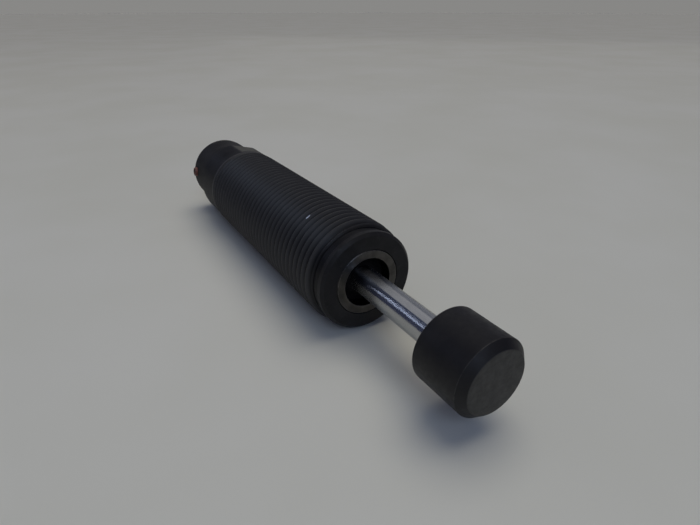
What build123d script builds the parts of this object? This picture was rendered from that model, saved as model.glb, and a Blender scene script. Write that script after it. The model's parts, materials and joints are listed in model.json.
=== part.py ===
from build123d import *
import os

# Industrial shock absorber: a threaded steel body, a sprung rod with a strike button, and a rear knob
# that adjusts the damping. Millimetres. The axis of the body is the X axis, +X points out of the
# front towards the button, +Z is up, and the origin is on the axis at the middle of the thread.
# Along the axis, places are depths behind the body's front face, so places in front are negative.

# Mounting thread: 1 inch, 12 threads per inch, 60 degree form
thread_radius = 25.4 / 2
thread_pitch = 25.4 / 12
thread_turns = 33
thread_start = 4.3
thread_root_radius = thread_radius - 0.5413 * thread_pitch
crest_width = thread_pitch / 8
root_width = thread_pitch / 4
flank_width = (thread_pitch - crest_width - root_width) / 2
thread_length = thread_turns * thread_pitch + crest_width

# Outer body
body_length = 86.0
bore_radius = 9.5
plain_radius = 12.5
rear_land_radius = 11.85
rear_land_length = 0.6
front_edge_radius = 11.2
nose_radius = 11.9
nose_chamfer = 0.7
groove_radius = 11.5
groove_front = 1.9
groove_rear = 3.1
lip_radius = 7.95
lip_depth = 3.5
snap_groove_front = 84.2
snap_groove_rear = 85.2
snap_groove_radius = 10.2
snap_ring_inner = 7.9
snap_ring_gap = 4.0
plier_hole_radius = 0.6
across_flats = 25.4 * 15 / 16
flats_start = 75.5
flats_angle = -14.0

# Rod, strike button and stroke
stroke = 25.4
rod_radius = 6.35 / 2
button_gap = stroke + 1.0
button_radius = 25.4 * 5 / 16
button_length = 12.7
button_chamfer = 1.5
button_spigot_radius = 2.5
button_spigot_length = 8.0
rod_shoulder = 21.3
rod_tail_radius = 2.0
rod_tail_end = 32.4

# Steel spring wire, N/mm2
shear_modulus = 79000

# Clearances: round parts that slide or turn on each other, and round parts that sit still
running = 0.05
seated = 0.05

# Front gland
recess_radius = 5.85
recess_depth = 3.2
wiper_groove_radius = 6.3
wiper_groove_rear = 6.0
web_rear = 7.0
gland_radius = bore_radius - seated
gland_length = 20.0
seal_bore_radius = 5.9
gland_groove_front = 8.0
rod_clearance = 0.4
wiper_tip = 2.5
wiper_foot_radius = 4.2
seal_front = 7.05
seal_rear = 10.5
seal_lip_thickness = 0.6
washer_rear = 11.5
foam_front = 22.0
foam_rear = 42.0

# Pressure tube and what runs in it
tube_inner = 6.0
tube_outer = 7.0
tube_front = 19.0
tube_rear = 75.0
orifice_radius = 0.6
orifice_depths = (46.0, 54.0, 60.0, 64.5, 68.0)
return_port_depth = 20.9
piston_radius = 5.93
piston_front = 19.3
piston_rear = 27.3
piston_boss_rear = 28.8
piston_boss_radius = 2.25
piston_groove = (22.0, 23.6)
piston_groove_radius = 5.1
passage_radius = 0.55
passage_circle = 4.2
passage_count = 4
check_ring_thickness = 0.8
nut_flange_rear = 29.8
spring_wire_radius = 0.45
spring_mean_radius = 4.45
spring_turns = 12
tube_plug_front = 70.0

# Rear plug, adjuster shaft, metering sleeve and knob
sleeve_front = 44.0
sleeve_outer = 8.2
sleeve_floor_front = 75.4
sleeve_floor_rear = 77.2
plug_front = 78.2
plug_groove_front = 80.0
plug_rear = 84.2
o_ring_section = 0.78
static_groove_radius = 7.9
static_groove_width = 2.2
shaft_radius = 3.0
shaft_rear = 99.5
shaft_flange_radius = 4.4
tang_width = 5.0
tang_thickness = 2.0
shaft_groove = (80.2, 81.3)
shaft_groove_radius = 2.2
clip_groove = (84.6, 85.3)
clip_groove_radius = 2.5
fill_radius = 1.5
fill_head_radius = 2.1
fill_circle = 5.6
fill_seat = 82.4
fill_seal_thickness = 0.4
knob_front = 86.4
knob_rear = 101.0
knob_radius = 11.1
lock_screw_radius = 1.6
lock_screw_depth = 97.6
lock_screw_angle = 82.0
lock_screw_tip = 11.9
socket_across = 2.0
dish_radius = 7.0
dish_depth = 0.5

front_face = thread_length / 2 + thread_start


def x_at(depth):
    """X of a place that lies depth behind the body's front face."""
    return front_face - depth


def turned(outline):
    """Solid of revolution about X from a closed outline of (depth, radius) points."""
    points = [(x_at(depth), radius) for depth, radius in outline]
    return revolve(make_face(Polyline(*points, close=True)), Axis.X)


def ring(front, rear, inner, outer):
    """Plain ring, or disc when inner is 0, between two depths."""
    return turned([(front, inner), (front, outer), (rear, outer), (rear, inner)])


def o_ring(depth, centre_radius, section_radius):
    """Round-section ring about X."""
    return Pos(x_at(depth), 0, 0) * Rot(0, 90, 0) * Torus(centre_radius, section_radius)


def radial(shape, depth, distance, angle=0.0):
    """Stand a shape whose axis is Z off the X axis, turned by an angle about X from +Z to -Y."""
    return Rot(angle, 0, 0) * Pos(x_at(depth), 0, distance) * shape


def along(shape, depth, offset=0.0, angle=0.0):
    """Lay a shape whose axis is Z along X, its middle at a depth, off the axis by an offset."""
    return Rot(angle, 0, 0) * Pos(x_at(depth), 0, offset) * Rot(0, 90, 0) * shape


def hexagon(across, length):
    """Hexagonal prism along Z."""
    return extrude(RegularPolygon(across / 2, 6, major_radius=False), length / 2, both=True)


def thread_outline():
    """One crest and one groove for each turn of the mounting thread, and a last crest."""
    points = []
    for turn in range(thread_turns):
        crest = thread_start + turn * thread_pitch
        root = crest + crest_width + flank_width
        points += [
            (crest, thread_radius),
            (crest + crest_width, thread_radius),
            (root, thread_root_radius),
            (root + root_width, thread_root_radius),
        ]
    last = thread_start + thread_turns * thread_pitch
    return points + [(last, thread_radius), (last + crest_width, thread_radius)]


def outer_body():
    nose = [
        (0, lip_radius + 0.3),
        (0, front_edge_radius),
        (nose_chamfer, nose_radius),
        (groove_front, nose_radius),
        (groove_front, groove_radius),
        (groove_rear, groove_radius),
    ]
    rear = [
        (thread_start + thread_length + 0.3, plain_radius),
        (body_length - rear_land_length, plain_radius),
        (body_length - rear_land_length, rear_land_radius),
        (body_length, rear_land_radius),
        (body_length, bore_radius + 0.8),
        (snap_groove_rear, bore_radius),
        (snap_groove_rear, snap_groove_radius),
        (snap_groove_front, snap_groove_radius),
        (snap_groove_front, bore_radius),
        (lip_depth, bore_radius),
        (lip_depth, lip_radius),
        (0.3, lip_radius),
    ]
    body = turned(nose + thread_outline() + rear)
    flat_length = body_length - flats_start
    cutter = Box(flat_length + 2, 2 * thread_radius, 4)
    for side in (0, 180):
        place = flats_start + flat_length / 2 + 1
        body -= radial(cutter, place, across_flats / 2 + 2, flats_angle + side)
    return body


def front_gland():
    groove_rear = gland_groove_front + static_groove_width
    return turned(
        [
            (0, recess_radius + 0.3),
            (0, lip_radius - 0.35),
            (0.3, lip_radius - seated),
            (lip_depth, lip_radius - seated),
            (lip_depth, gland_radius),
            (gland_groove_front, gland_radius),
            (gland_groove_front, static_groove_radius),
            (groove_rear, static_groove_radius),
            (groove_rear, gland_radius),
            (gland_length, gland_radius),
            (gland_length, tube_outer + seated),
            (tube_front, tube_outer + seated),
            (tube_front, seal_bore_radius),
            (web_rear, seal_bore_radius),
            (web_rear, rod_radius + rod_clearance),
            (wiper_groove_rear, rod_radius + rod_clearance),
            (wiper_groove_rear, wiper_groove_radius),
            (recess_depth, wiper_groove_radius),
            (recess_depth, recess_radius),
            (0.3, recess_radius),
        ]
    )


def gland_o_ring():
    middle = (static_groove_radius + bore_radius) / 2
    return o_ring(gland_groove_front + static_groove_width / 2, middle, o_ring_section)


def rod_wiper():
    """Scraper ring: a thin lip on the rod in front, a thick foot held in the gland's groove."""
    lip = rod_radius + running
    outside = wiper_groove_radius - seated
    foot_front = recess_depth + 0.1
    foot_rear = wiper_groove_rear - seated
    return turned(
        [
            (wiper_tip, lip),
            (wiper_tip, lip + 0.35),
            (foot_front, wiper_foot_radius + 0.7),
            (foot_front, outside),
            (foot_rear, outside),
            (foot_rear, wiper_foot_radius),
            (foot_rear - 0.75, wiper_foot_radius),
            (wiper_tip + 1.7, lip),
        ]
    )


def rod_seal():
    """U-shaped lip seal, open towards the oil."""
    lip = rod_radius + running
    outside = seal_bore_radius - seated
    return turned(
        [
            (seal_front, lip + 0.3),
            (seal_front, outside - 0.3),
            (seal_front + 0.35, outside),
            (seal_rear, outside),
            (seal_rear, outside - seal_lip_thickness),
            (seal_front + 1.55, (lip + outside) / 2),
            (seal_rear, lip + seal_lip_thickness),
            (seal_rear, lip),
            (seal_rear - 0.9, lip),
        ]
    )


def seal_washer():
    return ring(seal_rear + seated, washer_rear, rod_radius + 0.1, seal_bore_radius - seated)


def rod_bearing():
    rear = tube_front - seated
    return ring(washer_rear + seated, rear, rod_radius + 0.03, seal_bore_radius - seated)


def accumulator_foam():
    return ring(foam_front, foam_rear, tube_outer + 0.1, bore_radius - 0.3)


def pressure_tube():
    tube = ring(tube_front, tube_rear, tube_inner, tube_outer)
    drill = Cylinder(orifice_radius, 2 * (tube_outer - tube_inner))
    for depth in orifice_depths:
        tube -= radial(drill, depth, tube_outer)
    for side in (0, 180):
        tube -= radial(drill, return_port_depth, tube_outer, side)
    return tube


def tube_plug():
    plug = ring(tube_plug_front, tube_rear, 0, tube_inner - seated)
    spring_boss = ring(tube_plug_front - 2, tube_plug_front, 0, spring_mean_radius - 0.95)
    return plug + spring_boss


def return_spring():
    front = nut_flange_rear + spring_wire_radius + 0.02
    rear = tube_plug_front - spring_wire_radius - 0.02
    pitch = (rear - front) / spring_turns
    path = Helix(pitch, rear - front, spring_mean_radius)
    wire = Plane(path @ 0, z_dir=path % 0) * Circle(spring_wire_radius)
    coil = sweep(wire, path=path, is_frenet=True)
    return Pos(x_at(rear), 0, 0) * Rot(0, 90, 0) * coil


def rear_plug():
    groove_rear = plug_groove_front + static_groove_width
    plug = turned(
        [
            (plug_front, shaft_radius + running),
            (plug_front, gland_radius),
            (plug_groove_front, gland_radius),
            (plug_groove_front, static_groove_radius),
            (groove_rear, static_groove_radius),
            (groove_rear, gland_radius),
            (plug_rear, gland_radius),
            (plug_rear, shaft_radius + running),
        ]
    )
    hole_middle = (plug_front + plug_rear) / 2
    hole_length = 2 * (plug_rear - plug_front)
    plug -= along(Cylinder(fill_radius + seated, hole_length), hole_middle, fill_circle)
    seat_length = plug_rear - fill_seat
    plug -= along(Cylinder(fill_head_radius, seat_length), fill_seat + seat_length / 2, fill_circle)
    return plug


def plug_o_ring():
    middle = (static_groove_radius + bore_radius) / 2
    return o_ring(plug_groove_front + static_groove_width / 2, middle, o_ring_section)


def plug_retaining_ring():
    """Internal snap ring with an open gap and a plier hole each side of it."""
    front = snap_groove_front + seated
    rear = snap_groove_rear - seated
    middle = (front + rear) / 2
    clip = ring(front, rear, snap_ring_inner, snap_groove_radius - 0.1)
    centre_line = (snap_ring_inner + snap_groove_radius) / 2
    clip -= radial(Box(2, snap_ring_gap, 6), middle, centre_line, 180)
    for side in (-1, 1):
        clip -= along(Cylinder(plier_hole_radius, 2), middle, centre_line, 180 + side * 21)
    return clip


def fill_seal():
    washer = Cylinder(fill_head_radius - seated, fill_seal_thickness)
    washer -= Cylinder(fill_radius + seated, 2 * fill_seal_thickness)
    return along(washer, fill_seat + fill_seal_thickness / 2, fill_circle)


def fill_screw():
    head_front = fill_seat + fill_seal_thickness
    head_length = plug_rear - head_front
    shank_length = head_front - plug_front - 0.6
    head = Cylinder(fill_head_radius - seated, head_length)
    shank = Cylinder(fill_radius, shank_length)
    screw = along(head, head_front + head_length / 2, fill_circle)
    screw += along(shank, head_front - shank_length / 2, fill_circle)
    return screw - along(hexagon(socket_across, 2.0), plug_rear, fill_circle)


def piston_rod():
    return turned(
        [
            (-button_gap - button_spigot_length, 0),
            (-button_gap - button_spigot_length, button_spigot_radius - 0.4),
            (-button_gap - button_spigot_length + 0.4, button_spigot_radius),
            (-button_gap, button_spigot_radius),
            (-button_gap, rod_radius),
            (rod_shoulder, rod_radius),
            (rod_shoulder, rod_tail_radius),
            (rod_tail_end, rod_tail_radius),
            (rod_tail_end, 0),
        ]
    )


def strike_button():
    front = -button_gap - button_length
    hole = -button_gap - button_spigot_length - 0.2
    return turned(
        [
            (front, 0),
            (front, button_radius - button_chamfer),
            (front + button_chamfer, button_radius),
            (-button_gap - 0.4, button_radius),
            (-button_gap, button_radius - 0.4),
            (-button_gap, button_spigot_radius + seated),
            (hole, button_spigot_radius + seated),
            (hole, 0),
        ]
    )


def piston():
    head = turned(
        [
            (piston_front, rod_radius + seated),
            (piston_front, piston_radius - 0.4),
            (piston_front + 0.4, piston_radius),
            (piston_groove[0], piston_radius),
            (piston_groove[0], piston_groove_radius),
            (piston_groove[1], piston_groove_radius),
            (piston_groove[1], piston_radius),
            (piston_rear, piston_radius),
            (piston_rear, piston_boss_radius),
            (piston_boss_rear, piston_boss_radius),
            (piston_boss_rear, rod_tail_radius + seated),
            (rod_shoulder, rod_tail_radius + seated),
            (rod_shoulder, rod_radius + seated),
        ]
    )
    drill = Cylinder(passage_radius, 2 * (piston_rear - piston_front))
    for passage in range(passage_count):
        angle = 360 / passage_count * passage
        head -= along(drill, (piston_front + piston_rear) / 2, passage_circle, angle)
    return head


def piston_ring():
    """Split ring with a narrow gap."""
    front, rear = piston_groove
    split_ring = ring(front + 0.05, rear - 0.05, piston_groove_radius + 0.05, tube_inner - running)
    return split_ring - radial(Box(4, 0.4, 3), (front + rear) / 2, piston_radius, 90)


def check_ring():
    front = piston_rear + 0.02
    return ring(front, front + check_ring_thickness, piston_boss_radius + running, 5.0)


def piston_nut():
    hub_length = rod_tail_end - 0.2 - nut_flange_rear
    nut = ring(piston_boss_rear, nut_flange_rear, 0, spring_mean_radius + 0.75)
    nut += along(hexagon(6.0, hub_length), nut_flange_rear + hub_length / 2)
    return nut - ring(piston_boss_rear - 1, rod_tail_end, 0, rod_tail_radius + seated)


def metering_sleeve():
    """Cup over the pressure tube: a tapered window uncovers the orifices, a slot takes the shaft."""
    sleeve = ring(sleeve_front, sleeve_floor_rear, tube_outer + running, sleeve_outer)
    sleeve += ring(sleeve_floor_front, sleeve_floor_rear, 0, tube_outer + 0.5)
    front, rear = x_at(orifice_depths[0] - 1), x_at(orifice_depths[-1] + 1)
    window = make_face(Polyline((front, -1.8), (front, 1.8), (rear, 0.8), (rear, -0.8), close=True))
    sleeve -= Pos(0, 0, tube_outer - 1) * extrude(window, sleeve_outer)
    slot = Box(4, tang_width + 2 * seated, tang_thickness + 2 * seated)
    return sleeve - Pos(x_at(sleeve_floor_rear), 0, 0) * slot


def adjuster_shaft():
    flange_front = sleeve_floor_rear + 0.1
    flange_rear = plug_front - 0.1
    shaft = turned(
        [
            (flange_front, 0),
            (flange_front, shaft_flange_radius),
            (flange_rear, shaft_flange_radius),
            (flange_rear, shaft_radius),
            (shaft_groove[0], shaft_radius),
            (shaft_groove[0], shaft_groove_radius),
            (shaft_groove[1], shaft_groove_radius),
            (shaft_groove[1], shaft_radius),
            (clip_groove[0], shaft_radius),
            (clip_groove[0], clip_groove_radius),
            (clip_groove[1], clip_groove_radius),
            (clip_groove[1], shaft_radius),
            (shaft_rear, shaft_radius),
            (shaft_rear, 0),
        ]
    )
    tang_length = flange_front - sleeve_floor_front - 0.1
    tang = Box(tang_length, tang_width, tang_thickness)
    return shaft + Pos(x_at(flange_front - tang_length / 2), 0, 0) * tang


def adjuster_o_ring():
    section_radius = (shaft_radius - shaft_groove_radius) / 2 - 0.03
    return o_ring(sum(shaft_groove) / 2, (shaft_groove_radius + shaft_radius) / 2, section_radius)


def shaft_retaining_ring():
    """Open clip pushed into the shaft's groove from one side."""
    front, rear = clip_groove
    clip = ring(front + 0.05, rear - 0.05, clip_groove_radius + 0.05, 4.6)
    return clip - radial(Box(2, 3.6, 6), (front + rear) / 2, 4.0)


def adjuster_knob():
    knob = turned(
        [
            (knob_front, shaft_radius + seated),
            (knob_front, knob_radius - 0.4),
            (knob_front + 0.4, knob_radius),
            (knob_rear - 1.0, knob_radius),
            (knob_rear, knob_radius - 1.0),
            (knob_rear, dish_radius),
            (knob_rear - dish_depth, dish_radius - dish_depth),
            (knob_rear - dish_depth, 0),
            (shaft_rear + 0.1, 0),
            (shaft_rear + 0.1, shaft_radius + seated),
        ]
    )
    drill = Cylinder(lock_screw_radius + seated, knob_radius)
    return knob - radial(drill, lock_screw_depth, knob_radius / 2 + shaft_radius - 1, lock_screw_angle)


def lock_screw():
    """Set screw across the knob, standing a little proud of it, with a hexagon socket."""
    length = lock_screw_tip - shaft_radius - seated
    screw = chamfer(Cylinder(lock_screw_radius, length).edges(), 0.3)
    screw -= Pos(0, 0, length / 2) * hexagon(socket_across, 3.0)
    return radial(screw, lock_screw_depth, lock_screw_tip - length / 2, lock_screw_angle)


sub_parts = (
    outer_body,
    front_gland,
    gland_o_ring,
    rod_wiper,
    rod_seal,
    seal_washer,
    rod_bearing,
    accumulator_foam,
    pressure_tube,
    tube_plug,
    return_spring,
    rear_plug,
    plug_o_ring,
    plug_retaining_ring,
    fill_seal,
    fill_screw,
    piston_rod,
    strike_button,
    piston,
    piston_ring,
    check_ring,
    piston_nut,
    metering_sleeve,
    adjuster_shaft,
    adjuster_o_ring,
    shaft_retaining_ring,
    adjuster_knob,
    lock_screw,
)

os.makedirs("parts", exist_ok=True)
for make in sub_parts:
    solid = make()
    solid.label = make.__name__
    export_step(solid, f"parts/{make.__name__}.step")

stiffness_of_wire = shear_modulus * (2 * spring_wire_radius) ** 4
spring_rate = stiffness_of_wire / (8 * (2 * spring_mean_radius) ** 3 * (spring_turns - 1))
print("return spring rate, N/mm:", round(spring_rate, 3))
print("overall length, mm:", round(knob_rear + button_gap + button_length, 2))
print("front face x, mm:", round(front_face, 4))
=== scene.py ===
import json
import math

import bmesh
import bpy
from mathutils import Matrix, Vector


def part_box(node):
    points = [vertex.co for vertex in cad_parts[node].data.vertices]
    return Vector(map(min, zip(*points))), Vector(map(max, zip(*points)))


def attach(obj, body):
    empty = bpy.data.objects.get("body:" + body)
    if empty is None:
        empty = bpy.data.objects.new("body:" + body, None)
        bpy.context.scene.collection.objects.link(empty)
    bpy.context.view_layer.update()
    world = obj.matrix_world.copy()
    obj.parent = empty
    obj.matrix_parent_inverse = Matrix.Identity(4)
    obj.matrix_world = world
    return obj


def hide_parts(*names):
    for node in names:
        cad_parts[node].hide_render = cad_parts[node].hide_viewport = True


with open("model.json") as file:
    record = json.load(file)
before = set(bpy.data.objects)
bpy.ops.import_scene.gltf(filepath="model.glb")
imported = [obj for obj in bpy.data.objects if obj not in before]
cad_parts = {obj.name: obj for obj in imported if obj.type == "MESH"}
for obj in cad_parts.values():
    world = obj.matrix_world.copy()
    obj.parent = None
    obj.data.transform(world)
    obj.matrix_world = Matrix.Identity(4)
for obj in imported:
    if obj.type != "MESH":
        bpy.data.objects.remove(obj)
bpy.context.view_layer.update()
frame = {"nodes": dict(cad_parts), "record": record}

# Looks of an industrial shock absorber. The axis of the body is the X axis and +X points at the button.
# The pieces that show are built here again, most of them turned from an outline of (depth, radius,
# rounding) in millimetres. Depth is measured behind the body's front face. Blender works in metres.
# Vertices carry their wear: 0 is untouched, 1 is a rubbed edge, and chipped shows bare metal.
MM = 0.001
chipped = 3.0

# Fineness of the meshes, and the angles from which an edge is shaded crisp
lathe_steps = 192
thread_steps = 160
crisp_angle = math.radians(35)
crisp_angle_at_flat = math.radians(8)

# Gap between pieces that sit in each other
seated = 0.05

body_low, body_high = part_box("outer_body")
button_low, button_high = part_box("strike_button")
knob_low, knob_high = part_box("adjuster_knob")
front_x = body_high.x / MM
body_length = (body_high.x - body_low.x) / MM
thread_radius = body_high.y / MM
floor_z = body_low.z

# Mounting thread: 1 inch, 12 threads per inch. The shift moves all crests along the axis.
thread_pitch = 25.4 / 12
thread_depth = 0.5413 * thread_pitch
thread_root_radius = thread_radius - thread_depth
thread_start = 4.3
thread_end = 74.6
run_out_length = 1.3 * thread_pitch
crest_width = thread_pitch / 8
root_width = thread_pitch / 4
flank_width = (thread_pitch - crest_width - root_width) / 2
crest_shift = -0.38

# Body. Its two wrench flats face 14 degrees off +Z and -Z, turned about X.
nose_radius = 11.9
nose_chamfer = 0.7
front_edge_radius = 11.2
groove_radius = 11.5
groove_front = 1.9
groove_rear = 3.1
plain_radius = 12.5
bore_radius = 9.5
lip_radius = 7.95
lip_depth = 3.5
across_flats = 25.4 * 15 / 16
flats_start = 75.5
flats_normal = math.radians(90 - 14)
land_radius = 11.85
land_length = 0.6

# Small chip in one thread crest
nick_depth = 17.1
nick_angle = math.radians(118)
nick_size = 0.36
nick_drop = 0.14

# Front gland and rod wiper
recess_radius = 5.85
recess_depth = 3.2
gland_length = 20.0
seal_bore_radius = 5.9
tube_front = 19.0
tube_radius = 7.0
web_rear = 7.0
rod_clearance = 0.4
wiper_tip = 2.5
wiper_rear = 6.0
wiper_radius = 6.3
wiper_cone_radius = 4.9
wiper_foot_radius = 4.2

# Rod and strike button
rod_radius = 6.35 / 2
rod_rear = 21.3
rod_tail_radius = 2.0
rod_tail_end = 32.4
spigot_radius = 2.5
spigot_length = 8.0
button_front = front_x - button_high.x / MM
button_rear = front_x - button_low.x / MM
button_radius = button_high.y / MM
button_chamfer = 1.5

# Rear knob with a shallow dish, the end of the shaft in it, and its lock screw
knob_front = front_x - knob_high.x / MM
knob_rear = front_x - knob_low.x / MM
knob_radius = knob_high.z / MM
knob_chamfer = 1.0
dish_radius = 7.0
dish_depth = 0.5
shaft_radius = 3.0
shaft_end = knob_rear - 1.4
screw_depth = 97.6
screw_angle = math.radians(82)
screw_radius = 1.6
screw_tip = 11.9
socket_radius = 1.0

# Camera, in millimetres, and its lens
camera_place = (119.85, -53.12, 55.38)
camera_forward = (-0.75956, 0.45679, -0.46306)
camera_lens = 25.4
camera_sensor = 36

# Floor and the wall behind it, in metres
floor_reach = 5.5
wall_radius = 5
wall_height = 8


# ---------------------------------------------------------------- mesh helpers


def rounded(outline, arc_points=4):
    """Points (depth, radius, wear) of an outline whose rounded corners are arcs, with wear on them."""
    result = []
    count = len(outline)
    for i, (depth, radius, rounding) in enumerate(outline):
        if rounding == 0:
            result.append((depth, radius, 0.0))
            continue
        corner = Vector((depth, radius))
        before = Vector(outline[(i - 1) % count][:2]) - corner
        after = Vector(outline[(i + 1) % count][:2]) - corner
        half = before.angle(after) / 2
        reach = min(rounding / math.tan(half), 0.45 * before.length, 0.45 * after.length)
        start = corner + before.normalized() * reach
        end = corner + after.normalized() * reach
        outward = before.x * after.y - before.y * after.x > 0
        for step in range(arc_points + 1):
            t = step / arc_points
            point = start * (1 - t) ** 2 + corner * 2 * t * (1 - t) + end * t ** 2
            result.append((point.x, point.y, math.sin(math.pi * t) if outward else 0.0))
    return result


def ring_point(depth, radius, angle):
    """Place at a depth, a distance from the X axis and an angle about it, from +Y towards +Z."""
    return Vector((front_x - depth, radius * math.cos(angle), radius * math.sin(angle))) * MM


def add_object(bm, name):
    """Object in the scene made of a bmesh, which is used up."""
    mesh = bpy.data.meshes.new(name)
    bm.to_mesh(mesh)
    bm.free()
    made = bpy.data.objects.new(name, mesh)
    bpy.context.scene.collection.objects.link(made)
    return made


def finish_mesh(bm, name, flat=None):
    """Piece shaded smooth with crisp edges, and crisper beside faces that look along the flat's normal."""
    bmesh.ops.remove_doubles(bm, verts=bm.verts, dist=0.0005 * MM)
    bmesh.ops.dissolve_degenerate(bm, edges=bm.edges, dist=0.0002 * MM)
    bmesh.ops.recalc_face_normals(bm, faces=bm.faces)
    for face in bm.faces:
        face.smooth = True
    for edge in bm.edges:
        beside_flat = flat and any(abs(face.normal.dot(flat)) > 0.9998 for face in edge.link_faces)
        edge.smooth = edge.calc_face_angle(0) < (crisp_angle_at_flat if beside_flat else crisp_angle)
    piece = add_object(bm, name)
    weighted = piece.modifiers.new("weighted_normals", "WEIGHTED_NORMAL")
    weighted.keep_sharp = True
    return piece


def lathe(name, outline):
    """Turned solid about X from a closed outline."""
    bm = bmesh.new()
    wear = bm.verts.layers.float.new("wear")
    rings = []
    for depth, radius, edge in rounded(outline):
        ring = []
        for step in range(lathe_steps):
            vertex = bm.verts.new(ring_point(depth, radius, 2 * math.pi * step / lathe_steps))
            vertex[wear] = edge
            ring.append(vertex)
        rings.append(ring)
    for here, there in zip(rings, rings[1:] + rings[:1]):
        for step in range(lathe_steps):
            after = (step + 1) % lathe_steps
            bm.faces.new((here[step], here[after], there[after], there[step]))
    return finish_mesh(bm, name)


# ---------------------------------------------------------------- materials


class Nodes:
    """Short names for building one material's node tree."""

    def __init__(self, name):
        self.material = bpy.data.materials.new(name)
        self.material.use_nodes = True
        self.tree = self.material.node_tree
        self.tree.nodes.clear()
        self.output = self.tree.nodes.new("ShaderNodeOutputMaterial")
        self.shader = self.tree.nodes.new("ShaderNodeBsdfPrincipled")
        self.tree.links.new(self.shader.outputs[0], self.output.inputs[0])
        self.coords = self.tree.nodes.new("ShaderNodeTexCoord").outputs["Object"]

    def link(self, value, socket):
        """Plug an output into a socket, or set a plain value on it."""
        if hasattr(value, "links"):
            self.tree.links.new(value, socket)
        else:
            socket.default_value = value

    def set(self, **values):
        """Feed the shader's sockets, named in lower case, such as base_color."""
        for key, value in values.items():
            self.link(value, self.shader.inputs[key.replace("_", " ").title().replace("Ior", "IOR")])

    def math(self, operation, a, b=0.0, c=0.0, clamp=False):
        node = self.tree.nodes.new("ShaderNodeMath")
        node.operation = operation
        node.use_clamp = clamp
        for socket, value in zip(node.inputs, (a, b, c)):
            self.link(value, socket)
        return node.outputs[0]

    def noise(self, size_mm, detail=4.0, roughness=0.55, along=None):
        """Noise in space, or in lines across one distance in metres."""
        node = self.tree.nodes.new("ShaderNodeTexNoise")
        node.noise_dimensions = "1D" if along else "3D"
        self.tree.links.new(along or self.coords, node.inputs["W" if along else "Vector"])
        node.inputs["Scale"].default_value = 1 / (size_mm * MM)
        node.inputs["Detail"].default_value = detail
        node.inputs["Roughness"].default_value = roughness
        return node.outputs[0]

    def spots(self, size_mm):
        """Distance from the middle of the nearest cell, for cells of about this size."""
        node = self.tree.nodes.new("ShaderNodeTexVoronoi")
        self.tree.links.new(self.coords, node.inputs["Vector"])
        node.inputs["Scale"].default_value = 1 / (size_mm * MM)
        return node.outputs["Distance"]

    def ramp(self, value, low, high, to_low=0.0, to_high=1.0):
        """Smooth step from to_low to to_high while the value goes from low to high."""
        node = self.tree.nodes.new("ShaderNodeMapRange")
        node.interpolation_type = "SMOOTHSTEP"
        self.link(value, node.inputs["Value"])
        sockets = ("From Min", "From Max", "To Min", "To Max")
        for socket, number in zip(sockets, (low, high, to_low, to_high)):
            self.link(number, node.inputs[socket])
        return node.outputs[0]

    def mix(self, factor, a, b):
        node = self.tree.nodes.new("ShaderNodeMix")
        node.data_type = "RGBA"
        self.link(factor, node.inputs["Factor"])
        self.link((*a, 1) if isinstance(a, tuple) else a, node.inputs["A"])
        self.link((*b, 1) if isinstance(b, tuple) else b, node.inputs["B"])
        return node.outputs["Result"]

    def split(self):
        """The place in the object's own X, Y and Z, in metres."""
        node = self.tree.nodes.new("ShaderNodeSeparateXYZ")
        self.tree.links.new(self.coords, node.inputs[0])
        return node.outputs

    def radius(self):
        """Distance from the X axis, in metres."""
        x, y, z = self.split()
        square = self.math("MULTIPLY_ADD", y, y, self.math("MULTIPLY", z, z))
        return self.math("SQRT", square)

    def wear(self):
        """The wear that the piece's vertices carry."""
        node = self.tree.nodes.new("ShaderNodeAttribute")
        node.attribute_name = "wear"
        return node.outputs["Fac"]

    def lathe_lines(self, anisotropy):
        """Highlights drawn out across the fine lines that run round the X axis."""
        node = self.tree.nodes.new("ShaderNodeTangent")
        node.direction_type = "RADIAL"
        node.axis = "X"
        self.link(node.outputs[0], self.shader.inputs["Tangent"])
        self.shader.inputs["Anisotropic"].default_value = anisotropy
        self.shader.inputs["Anisotropic Rotation"].default_value = 0.25

    def bump(self, height, depth_mm, strength=1.0):
        node = self.tree.nodes.new("ShaderNodeBump")
        node.inputs["Strength"].default_value = strength
        node.inputs["Distance"].default_value = depth_mm * MM
        self.link(height, node.inputs["Height"])
        self.link(node.outputs[0], self.shader.inputs["Normal"])


def x_at(depth):
    """Place along X, in metres, at a depth in millimetres behind the body's front face."""
    return (front_x - depth) * MM


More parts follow.
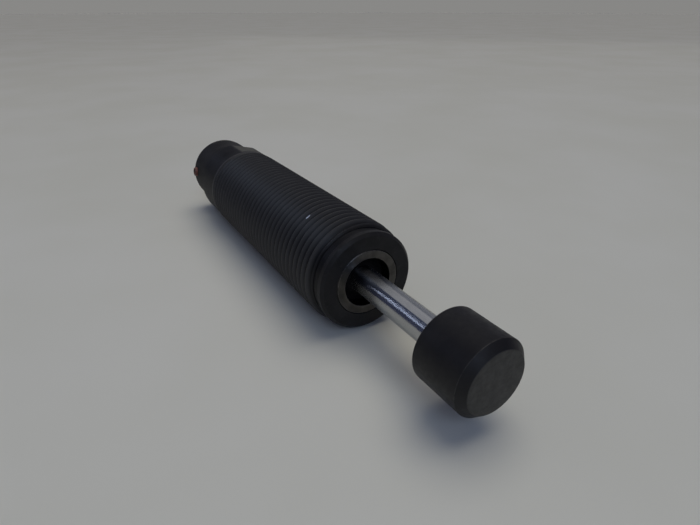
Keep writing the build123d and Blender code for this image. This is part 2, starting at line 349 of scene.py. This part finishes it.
def black_oxide(name, tint=(0.0135, 0.013, 0.0135), rubbed=(0.05, 0.046, 0.042), gloss=0.3, threaded=False):
    """Black oxide on steel: satin, cloudy and dusty, rubbed on worn edges and bare where it is chipped."""
    n = Nodes(name)
    clouds = n.ramp(n.noise(6.0, 5), 0.35, 0.68)
    colour = n.mix(clouds, tint, tuple(c * 1.6 for c in tint))
    dust = n.ramp(n.noise(1.1, 6, 0.7), 0.52, 0.75)
    colour = n.mix(n.math("MULTIPLY", dust, 0.4), colour, (0.05, 0.048, 0.044))
    patchy = n.ramp(n.noise(1.6, 4, 0.65), 0.38, 0.62, 0.4, 1.0)
    worn = n.math("MULTIPLY", n.wear(), patchy, clamp=True)
    colour = n.mix(worn, colour, rubbed)
    shine = gloss
    if threaded:
        colour = thread_shade(n, colour)
        shine = thread_shine(n, gloss)
    bare = n.ramp(n.wear(), 0.4 * chipped, 0.6 * chipped)
    colour = n.mix(bare, colour, (0.6, 0.62, 0.68))
    lines = n.noise(0.12, 2, 0.6, along=n.radius())
    grain = n.noise(0.3, 3, 0.7)
    rough = n.ramp(grain, 0.3, 0.7, 0.62 - 0.7 * gloss, 0.72 - 0.7 * gloss)
    metal = n.math("MAXIMUM", n.math("MULTIPLY", worn, 0.5), bare)
    n.set(base_color=colour, metallic=metal, roughness=rough, specular_ior_level=shine)
    n.lathe_lines(0.5)
    n.bump(n.math("MULTIPLY_ADD", grain, 0.6, n.math("MULTIPLY", lines, 0.6)), 0.012, 0.6)
    return n.material


def thread_shine(n, gloss):
    """Full gloss on the thread, and less on the nose in front of it and on the plain part behind it."""
    x = n.split()[0]
    ahead = n.ramp(x, x_at(thread_start), x_at(groove_rear), gloss, 0.18)
    behind = n.ramp(x, x_at(thread_end), x_at(thread_end - 0.5), 0.14, gloss)
    return n.math("MINIMUM", ahead, behind)


def thread_shade(n, colour):
    """Dark thread roots, partly oil and partly painted shade, lighter crests, and grey worn wrench flats
    behind it.
    """
    depth = n.math("MULTIPLY_ADD", n.split()[0], -1.0, front_x * MM)
    radius = n.radius()
    on_thread = n.ramp(depth, groove_front * MM, (groove_front + 0.1) * MM)
    height = n.ramp(radius, (thread_root_radius + 0.1) * MM, (thread_radius - 0.1) * MM)
    # Colour by height: the near-black roots are painted shade in the thread's hollows, with some oil in
    # them.
    crest = n.mix(height, (0.003, 0.003, 0.004), (0.062, 0.06, 0.06))
    ahead = n.ramp(depth, thread_end * MM, (thread_end + 0.5) * MM, 0.8, 0.0)
    colour = n.mix(n.math("MULTIPLY", on_thread, ahead), colour, crest)
    behind = n.ramp(depth, flats_start * MM, (flats_start + 0.1) * MM)
    below = n.ramp(radius, (plain_radius - 0.12) * MM, (plain_radius - 0.04) * MM, 1.0, 0.0)
    scraped = n.ramp(n.noise(1.8, 5, 0.6), 0.3, 0.5)
    worn_flat = n.math("MULTIPLY", n.math("MULTIPLY", behind, below), scraped)
    return n.mix(worn_flat, colour, (0.085, 0.082, 0.07))


def turned_metal(name, light, dark, roughness=(0.22, 0.4), line_mm=0.1, stain=(0.05, 0.045, 0.04), bore=0):
    """Bare metal with fine turning lines, clouded tone and small stains, with painted shade, near black,
    inside a bore radius.
    """
    n = Nodes(name)
    clouds = n.ramp(n.noise(3.5, 5), 0.3, 0.7)
    colour = n.mix(clouds, light, dark)
    stains = n.ramp(n.noise(0.9, 5, 0.7), 0.6, 0.78)
    colour = n.mix(n.math("MULTIPLY", stains, 0.6), colour, stain)
    bright_edges = n.math("MULTIPLY", n.wear(), n.ramp(n.noise(0.5, 4, 0.7), 0.4, 0.6))
    colour = n.mix(bright_edges, colour, tuple(c * 2.2 for c in light))
    if bore:
        # Painted shade: the surfaces inside the bore radius, deep in the recess, are coloured near black.
        inside = n.ramp(n.radius(), (bore + 0.02) * MM, (bore + 0.2) * MM, 1.0, 0.0)
        colour = n.mix(inside, colour, (0.012, 0.012, 0.013))
    lines = n.noise(line_mm, 2, 0.6, along=n.radius())
    x = n.split()[0]
    side_lines = n.noise(line_mm, 2, 0.6, along=x)
    rough = n.ramp(n.noise(0.7, 4), 0.3, 0.7, *roughness)
    n.set(base_color=colour, metallic=1.0, roughness=rough)
    n.lathe_lines(0.6)
    n.bump(n.math("ADD", lines, side_lines), 0.006, 0.5)
    return n.material


def rod_chrome(name):
    """Ground hard chrome: clean mirror tone, fine lines round the rod, a faint oil film near the seal."""
    n = Nodes(name)
    x = n.split()[0]
    lines = n.noise(0.05, 3, 0.7, along=x)
    film = n.ramp(x, x_at(0), x_at(-3), 1.0, 0.0)
    smear = n.math("MULTIPLY", film, n.ramp(n.noise(1.5, 4), 0.35, 0.7))
    colour = n.mix(n.ramp(n.noise(2.5, 4), 0.35, 0.7), (0.48, 0.485, 0.485), (0.44, 0.445, 0.445))
    colour = n.mix(n.math("MULTIPLY", smear, 0.4), colour, (0.2, 0.19, 0.17))
    rough = n.math("MULTIPLY_ADD", lines, 0.04, n.ramp(n.noise(4.0, 3), 0.3, 0.7, 0.17, 0.2))
    n.set(base_color=colour, metallic=1.0, roughness=rough)
    n.lathe_lines(1.0)
    n.bump(lines, 0.001, 0.3)
    return n.material


def button_steel(name):
    """Black oxide button whose strike face and front edges are rubbed down to dull grey steel."""
    n = Nodes(name)
    x = n.split()[0]
    on_face = n.ramp(x, button_high.x - 0.12 * MM, button_high.x - 0.03 * MM)
    scuffs = n.ramp(n.noise(1.4, 6, 0.7), 0.3, 0.7)
    clouds = n.ramp(n.noise(5.0, 5), 0.35, 0.68)
    black = n.mix(clouds, (0.0075, 0.0068, 0.008), (0.012, 0.011, 0.0115))
    grey = n.mix(scuffs, (0.047, 0.046, 0.045), (0.073, 0.072, 0.069))
    edges = n.math("MULTIPLY", n.wear(), n.ramp(n.noise(0.8, 4), 0.35, 0.6, 0.2, 0.8))
    colour = n.mix(edges, n.mix(on_face, black, grey), (0.06, 0.056, 0.052))
    marks = n.noise(0.5, 5, 0.8)
    lines = n.noise(0.14, 2, 0.6, along=n.radius())
    rough = n.ramp(n.noise(1.0, 4), 0.3, 0.7, 0.46, 0.56)
    n.set(base_color=colour, metallic=n.math("MULTIPLY", on_face, 0.5), roughness=rough)
    n.set(specular_ior_level=0.32)
    n.bump(n.math("MULTIPLY_ADD", marks, 0.7, n.math("MULTIPLY", lines, 0.5)), 0.014, 0.6)
    return n.material


def rubber(name, tone=(0.016, 0.016, 0.017)):
    """Oily black rubber with a fine moulded grain."""
    n = Nodes(name)
    grain = n.noise(0.25, 4, 0.7)
    colour = n.mix(n.ramp(n.noise(1.5, 4), 0.35, 0.7), tone, tuple(c * 1.8 for c in tone))
    n.set(base_color=colour, roughness=n.ramp(grain, 0.3, 0.7, 0.42, 0.6))
    n.bump(grain, 0.01, 0.5)
    return n.material


def wiper_rubber(name):
    """Dull black rubber of the scraper lip, caked with oily dirt."""
    n = Nodes(name)
    grain = n.noise(0.25, 4, 0.7)
    n.set(base_color=n.mix(n.noise(0.8, 4), (0.002, 0.002, 0.003), (0.012, 0.011, 0.011)))
    n.set(roughness=n.ramp(grain, 0.3, 0.7, 0.6, 0.8), specular_ior_level=0.12)
    n.bump(grain, 0.01, 0.5)
    return n.material


def foam_material(name):
    """Closed-cell foam: pale cells with dark walls."""
    n = Nodes(name)
    cells = n.spots(0.45)
    colour = n.mix(n.ramp(cells, 0.1, 0.7), (0.09, 0.09, 0.085), (0.26, 0.26, 0.24))
    n.set(base_color=colour, roughness=n.ramp(n.noise(0.6), 0.3, 0.7, 0.75, 0.95))
    n.bump(cells, 0.08, 0.8)
    return n.material


def red_lacquer(name):
    """Steel set screw dabbed with red sealing lacquer, faded and rubbed through in places."""
    n = Nodes(name)
    covered = n.ramp(n.noise(0.9, 4, 0.6), 0.36, 0.5)
    lacquer = n.mix(n.noise(0.6, 3), (0.15, 0.05, 0.035), (0.26, 0.1, 0.075))
    colour = n.mix(covered, (0.1, 0.085, 0.075), lacquer)
    n.set(base_color=colour, roughness=n.ramp(n.noise(0.5), 0.3, 0.7, 0.3, 0.5))
    n.bump(n.noise(0.7, 4), 0.05, 0.6)
    return n.material


# ---------------------------------------------------------------- pieces


def show(piece, node, body, material):
    """Give a built piece its finish, let it ride on its body and stand for its CAD node."""
    piece.data.materials.append(material)
    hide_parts(node)
    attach(piece, body)


def thread_section():
    """One turn of thread as (place along the pitch, height above the root, wear), with soft corners."""
    soft = 0.05
    shoulder = 0.2
    root_start = crest_width + flank_width
    root_end = root_start + root_width
    slope = flank_width / thread_depth
    return [
        (0.0, thread_depth - 0.02, 1.0),
        (soft, thread_depth, 1.0),
        (crest_width - soft, thread_depth, 1.0),
        (crest_width, thread_depth - 0.02, 1.0),
        (crest_width + shoulder * slope, thread_depth - shoulder, 0.3),
        (crest_width + 0.6 * flank_width, 0.4 * thread_depth, 0.0),
        (root_start, soft, 0.0),
        (root_start + 2 * soft, 0.0, 0.0),
        (root_end - 2 * soft, 0.0, 0.0),
        (root_end, soft, 0.0),
        (root_end + 0.4 * flank_width, 0.4 * thread_depth, 0.0),
        (thread_pitch - shoulder * slope, thread_depth - shoulder, 0.3),
    ]


def thread_height(depth, height):
    """Height above the root, cut down by the lead-in at the front and filled by the run-out at the rear."""
    lead_in = 0.05 + 1.3 * max(depth - thread_start, 0)
    run_out = (depth - (thread_end - run_out_length)) / (run_out_length - 0.15)
    share = min(max(run_out, 0), 1)
    plain_height = plain_radius - thread_root_radius
    return min(height, lead_in) * (1 - share) + plain_height * share


def threaded_surface(bm, wear):
    """The right-hand thread as one long strip, cut square at both ends, where its rims stay open."""
    section = thread_section()
    first = thread_start - 1.5 * thread_pitch + crest_shift
    turns = math.ceil((thread_end - thread_start) / thread_pitch) + 2
    columns = []
    for step in range(turns * thread_steps + 1):
        angle = -2 * math.pi * step / thread_steps
        lead = first + thread_pitch * step / thread_steps
        column = []
        for along, height, edge in section:
            radius = thread_root_radius + thread_height(lead + along, height)
            vertex = bm.verts.new(ring_point(lead + along, radius, angle))
            vertex[wear] = edge
            column.append(vertex)
        columns.append(column)
    for step in range(len(columns) - 1):
        here = list(columns[step])
        there = list(columns[step + 1])
        if step + 1 + thread_steps < len(columns):
            here.append(columns[step + thread_steps][0])
            there.append(columns[step + 1 + thread_steps][0])
        for i in range(len(here) - 1):
            bm.faces.new((here[i], there[i], there[i + 1], here[i + 1]))
    for end, side in ((thread_start, 1), (thread_end, -1)):
        bmesh.ops.bisect_plane(
            bm,
            geom=bm.verts[:] + bm.edges[:] + bm.faces[:],
            dist=1e-8,
            plane_co=ring_point(end, 0, 0),
            plane_no=(side, 0, 0),
            clear_outer=True,
        )


def on_flat(depth, radius, angle):
    """Radius of a place on the rear part once the two wrench flats are milled."""
    if depth < flats_start:
        return radius
    towards_flat = max(abs(math.cos(angle - flats_normal)), 0.5)
    return min(radius, across_flats / 2 / towards_flat)


def continue_rim(bm, wear, depth, outline):
    """Carry the open rim at a depth along an open outline, and give back the rim it ends in."""
    x = ring_point(depth, 0, 0).x
    rim = [e for e in bm.edges if e.is_boundary and all(abs(v.co.x - x) < 1e-7 for v in e.verts)]
    for next_depth, radius, edge in rounded(outline):
        made = bmesh.ops.extrude_edge_only(bm, edges=rim)["geom"]
        rim = [item for item in made if isinstance(item, bmesh.types.BMEdge)]
        for vertex in {v for e in rim for v in e.verts}:
            angle = math.atan2(vertex.co.z, vertex.co.y)
            vertex.co = ring_point(next_depth, on_flat(next_depth, radius, angle), angle)
            vertex[wear] = edge
    return rim


def outer_body():
    """Body: nose, groove, helical thread, plain rear part with two wrench flats, and the bore.

    Rings close before flats_start keep the flats' front edges sharp. The front and the rear outline
    both end inside the bore, where they are bridged.
    """
    bm = bmesh.new()
    wear = bm.verts.layers.float.new("wear")
    threaded_surface(bm, wear)
    front = [
        (thread_start, groove_radius, 0),
        (groove_rear, groove_radius, 0),
        (groove_front, groove_radius, 0.05),
        (groove_front, nose_radius, 0.08),
        (nose_chamfer, nose_radius, 0.15),
        (0, front_edge_radius, 0.1),
        (0, lip_radius, 0.2),
        (lip_depth, lip_radius, 0),
        (lip_depth, bore_radius, 0),
        (body_length / 2, bore_radius, 0),
    ]
    rear = [
        (flats_start - 0.1, plain_radius, 0),
        (flats_start - 0.001, plain_radius, 0),
        (flats_start, plain_radius, 0),
        (body_length - land_length - 0.1, plain_radius, 0),
        (body_length - land_length, plain_radius, 0.12),
        (body_length - land_length, land_radius, 0),
        (body_length, land_radius, 0.1),
        (body_length, bore_radius, 0.3),
        (body_length / 2 + 5, bore_radius, 0),
    ]
    rims = continue_rim(bm, wear, thread_start, front) + continue_rim(bm, wear, thread_end, rear)
    bmesh.ops.bridge_loops(bm, edges=rims)
    nick(bm, wear)
    flat = Vector((0, math.cos(flats_normal), math.sin(flats_normal)))
    return finish_mesh(bm, "threaded_body", flat)


def nick(bm, wear):
    """Small bright chip in one thread crest."""
    centre = ring_point(nick_depth, thread_radius, nick_angle)
    for vertex in bm.verts:
        distance = (vertex.co - centre).length / MM
        if distance < nick_size:
            angle = math.atan2(vertex.co.z, vertex.co.y)
            radius = math.hypot(vertex.co.y, vertex.co.z) / MM
            lowered = radius - nick_drop * (1 - distance / nick_size)
            vertex.co = ring_point(front_x - vertex.co.x / MM, lowered, angle)
            vertex[wear] = chipped


def front_gland():
    """Rod guide housing, whose face shows as a bare ring round the recess in the body's front."""
    face_bevel = 0.2
    return lathe(
        "front_gland_ring",
        [
            (0, recess_radius, 0.25),
            (0, lip_radius - face_bevel, 0.12),
            (face_bevel, lip_radius - seated, 0),
            (lip_depth, lip_radius - seated, 0),
            (lip_depth, bore_radius - seated, 0.1),
            (gland_length, bore_radius - seated, 0.1),
            (gland_length, tube_radius + seated, 0),
            (tube_front, tube_radius + seated, 0),
            (tube_front, seal_bore_radius, 0),
            (web_rear, seal_bore_radius, 0),
            (web_rear, rod_radius + rod_clearance, 0.1),
            (wiper_rear, rod_radius + rod_clearance, 0.1),
            (wiper_rear, wiper_radius, 0),
            (recess_depth, wiper_radius, 0),
            (recess_depth, recess_radius, 0.08),
        ],
    )


def rod_wiper():
    """Scraper ring with a cone that ends in a thin lip on the rod."""
    lip = rod_radius + seated
    lip_width = 0.35
    lip_length = 1.7
    return lathe(
        "wiper_ring",
        [
            (wiper_tip, lip, 0.08),
            (wiper_tip, lip + lip_width, 0.12),
            (recess_depth + 0.1, wiper_cone_radius, 0.2),
            (recess_depth + 0.1, wiper_radius - seated, 0.1),
            (wiper_rear - seated, wiper_radius - seated, 0.1),
            (wiper_rear - seated, wiper_foot_radius, 0.1),
            (wiper_rear - 0.8, wiper_foot_radius, 0.1),
            (wiper_tip + lip_length, lip, 0.1),
        ],
    )


def piston_rod():
    """Rod with a spigot for the button in front and a thinner tail for the piston behind."""
    return lathe(
        "polished_rod",
        [
            (button_rear - spigot_length, 0, 0),
            (button_rear - spigot_length, spigot_radius, 0.4),
            (button_rear, spigot_radius, 0),
            (button_rear, rod_radius, 0.08),
            (rod_rear, rod_radius, 0.1),
            (rod_rear, rod_tail_radius, 0),
            (rod_tail_end, rod_tail_radius, 0.3),
            (rod_tail_end, 0, 0),
        ],
    )


def strike_button():
    """Heavy button with a chamfered front and a blind hole for the rod's spigot."""
    hole_end = button_rear - spigot_length - 0.2
    face_radius = button_radius - button_chamfer
    return lathe(
        "button",
        [
            (button_front, 0, 0),
            (button_front, 0.5 * face_radius, 0),
            (button_front, face_radius, 0.22),
            (button_front + button_chamfer, button_radius, 0.3),
            (button_rear, button_radius, 0.4),
            (button_rear, spigot_radius + seated, 0.1),
            (hole_end, spigot_radius + seated, 0),
            (hole_end, 0, 0),
        ],
    )


def adjuster_knob():
    """Knob with a shallow dish in its rear face. The hole for the lock screw is hidden by the screw."""
    return lathe(
        "rear_knob",
        [
            (knob_front, shaft_radius + seated, 0),
            (knob_front, knob_radius, 0.4),
            (knob_rear - knob_chamfer, knob_radius, 0.8),
            (knob_rear, knob_radius - knob_chamfer, 0.5),
            (knob_rear, dish_radius, 0.3),
            (knob_rear - dish_depth, dish_radius - dish_depth, 0.3),
            (knob_rear - dish_depth, 0, 0),
            (shaft_end, 0, 0),
            (shaft_end, shaft_radius + seated, 0),
        ],
    )


def lock_screw():
    """Set screw across the knob, with a hexagon socket under its lacquer, as rings from its foot up."""
    steps = 72
    foot_height = shaft_radius + seated
    length = screw_tip - foot_height
    rings = [
        (0, 0, False),
        (0, screw_radius - 0.3, False),
        (0.3, screw_radius, False),
        (length - 0.35, screw_radius, False),
        (length - 0.1, screw_radius - 0.15, False),
        (length, screw_radius - 0.4, False),
        (length - 0.02, socket_radius + 0.2, True),
        (length - 0.12, socket_radius + 0.02, True),
        (length - 1.4, socket_radius, True),
        (length - 1.7, 0, False),
    ]
    bm = bmesh.new()
    bm.verts.layers.float.new("wear")
    loops = []
    for height, radius, six_sided in rings:
        loop = []
        for step in range(steps):
            angle = 2 * math.pi * step / steps
            corner = angle % (math.pi / 3) - math.pi / 6
            r = radius / math.cos(corner) if six_sided else radius
            loop.append(bm.verts.new(Vector((r * math.cos(angle), r * math.sin(angle), height)) * MM))
        loops.append(loop)
    for here, there in zip(loops, loops[1:]):
        for step in range(steps):
            after = (step + 1) % steps
            bm.faces.new((here[step], here[after], there[after], there[step]))
    foot = Vector((front_x - screw_depth, 0, 0)) * MM
    stand = Matrix.Rotation(screw_angle, 4, "X") @ Matrix.Translation((0, 0, foot_height * MM))
    bmesh.ops.transform(bm, matrix=Matrix.Translation(foot) @ stand, verts=bm.verts)
    return finish_mesh(bm, "sealed_lock_screw")


# ---------------------------------------------------------------- camera, floor and light


def camera():
    """Close wide-angle view from above the button's left, at the distance of a hand-held snapshot."""
    eye = bpy.data.objects.new("camera", bpy.data.cameras.new("camera"))
    bpy.context.scene.collection.objects.link(eye)
    eye.data.sensor_width = camera_sensor
    eye.data.lens = camera_lens
    eye.data.clip_start = 0.005
    eye.location = Vector(camera_place) * MM
    eye.rotation_euler = Vector(camera_forward).to_track_quat("-Z", "Y").to_euler()
    bpy.context.scene.camera = eye


def direction(bearing, elevation):
    """Unit vector at a bearing about Z, from +X towards +Y, and an elevation, both in degrees."""
    a, e = math.radians(bearing), math.radians(elevation)
    return Vector((math.cos(a) * math.cos(e), math.sin(a) * math.cos(e), math.sin(e)))


def panel(name, bearing, elevation, distance, width, height, radiance, colour):
    """Rectangular light aimed at the origin, in metres."""
    light = bpy.data.lights.new(name, "AREA")
    light.shape = "RECTANGLE"
    light.size = width
    light.size_y = height
    light.energy = radiance * width * height * math.pi
    light.color = colour
    lamp = bpy.data.objects.new(name, light)
    bpy.context.scene.collection.objects.link(lamp)
    towards = direction(bearing, elevation)
    lamp.rotation_euler = towards.to_track_quat("Z", "Y").to_euler()
    lamp.location = towards * distance
    return lamp


def daylight(bearing, elevation, spread, strength, colour):
    """Very soft light from far away, so that the floor is lit evenly."""
    light = bpy.data.lights.new("daylight", "SUN")
    light.angle = math.radians(spread)
    light.energy = strength
    light.color = colour
    lamp = bpy.data.objects.new("daylight", light)
    bpy.context.scene.collection.objects.link(lamp)
    lamp.rotation_euler = direction(bearing, elevation).to_track_quat("Z", "Y").to_euler()
    lamp.visible_glossy = False


def floor():
    """Plain pale table top under the object."""
    bm = bmesh.new()
    bmesh.ops.create_grid(bm, x_segments=8, y_segments=8, size=floor_reach)
    bmesh.ops.translate(bm, vec=(0, 0, floor_z), verts=bm.verts)
    table = add_object(bm, "floor")
    n = Nodes("pale_floor")
    cloud = n.ramp(n.noise(90, 3), 0.3, 0.7)
    n.set(base_color=n.mix(cloud, (0.74, 0.735, 0.665), (0.78, 0.775, 0.72)), roughness=0.62)
    table.data.materials.append(n.material)


def backdrop():
    """Ring wall on the horizon, as pale as the far floor. Only the camera sees it, so it gives no light."""
    bm = bmesh.new()
    bmesh.ops.create_cone(bm, segments=64, radius1=wall_radius, radius2=wall_radius, depth=wall_height)
    wall = add_object(bm, "backdrop")
    n = Nodes("pale_backdrop")
    shade = n.ramp(n.noise(20000, 2), 0.3, 0.7, 0.235, 0.25)
    n.set(base_color=(0, 0, 0, 1), emission_color=(1.0, 0.99, 0.96, 1), emission_strength=shade)
    wall.data.materials.append(n.material)
    wall.visible_diffuse = False
    wall.visible_glossy = False
    wall.visible_transmission = False
    wall.visible_shadow = False


def lights():
    """Even daylight on the floor, and panels for what the dark and the polished surfaces reflect."""
    daylight(110, 76, 50, 0.98, (1.0, 0.955, 0.83))
    reflected = [
        panel("overhead_panel", 90, 81, 0.9, 2.2, 0.98, 0.37, (1.0, 0.99, 0.96)),
        panel("right_fill", 134, 20, 1.1, 1.2, 0.66, 0.21, (1.0, 1.0, 0.95)),
        panel("left_lamp", -140, 30, 0.9, 0.8, 0.045, 3.4, (0.66, 0.75, 1.0)),
    ]
    for lamp in reflected:
        lamp.visible_diffuse = False
    panel("front_window", -20, 40, 0.9, 0.35, 0.35, 2.8, (0.6, 0.74, 1.0))
    soft = panel("soft_left", -120, 50, 0.7, 0.6, 0.6, 0.16, (1.0, 0.98, 0.92))
    soft.visible_glossy = False


def room():
    """Faint bluish light from all round, and colours shown as they are."""
    world = bpy.data.worlds.new("room")
    world.use_nodes = True
    background = world.node_tree.nodes["Background"]
    background.inputs["Color"].default_value = (0.5, 0.58, 1.0, 1)
    background.inputs["Strength"].default_value = 0.11
    bpy.context.scene.world = world
    bpy.context.scene.view_settings.view_transform = "Standard"


def studio():
    """Everything round the object."""
    camera()
    floor()
    backdrop()
    lights()
    room()


# ---------------------------------------------------------------- the object


def finish_cad_nodes():
    """Materials for the CAD nodes that stay, which are the pieces inside the body."""
    steel = turned_metal("oiled_steel", (0.42, 0.41, 0.40), (0.33, 0.32, 0.31))
    spring = turned_metal("spring_steel", (0.30, 0.29, 0.28), (0.21, 0.20, 0.20), line_mm=0.3)
    bronze = turned_metal("bronze", (0.52, 0.33, 0.15), (0.42, 0.25, 0.11), stain=(0.10, 0.05, 0.02))
    finishes = {
        "seal_rubber": rubber("seal_rubber"),
        "inner_steel": steel,
        "bronze": bronze,
        "foam": foam_material("foam"),
    }
    for part in frame["record"]["subparts"]:
        node = frame["nodes"][part["node"]]
        if node.hide_render:
            continue
        material = spring if part["node"] == "return_spring" else finishes[part["material_slot"]]
        node.data.materials.clear()
        node.data.materials.append(material)


def build():
    """Build the pieces that show, and finish the rest."""
    oxide = black_oxide("black_oxide_body", threaded=True)
    show(outer_body(), "outer_body", "barrel", oxide)
    # Bare steel ring round the recess, with painted shade inside the recess radius.
    gland = turned_metal(
        "bare_gland_steel", (0.11, 0.106, 0.102), (0.06, 0.058, 0.057), (0.3, 0.45), bore=recess_radius
    )
    show(front_gland(), "front_gland", "barrel", gland)
    show(rod_wiper(), "rod_wiper", "barrel", wiper_rubber("wiper_rubber"))
    show(piston_rod(), "piston_rod", "rod", rod_chrome("hard_chrome"))
    show(strike_button(), "strike_button", "rod", button_steel("button_steel"))
    knob = black_oxide("black_knob", (0.019, 0.018, 0.018), (0.045, 0.045, 0.045), gloss=0.16)
    show(adjuster_knob(), "adjuster_knob", "adjuster", knob)
    show(lock_screw(), "lock_screw", "adjuster", red_lacquer("red_lacquer"))
    finish_cad_nodes()


build()
studio()
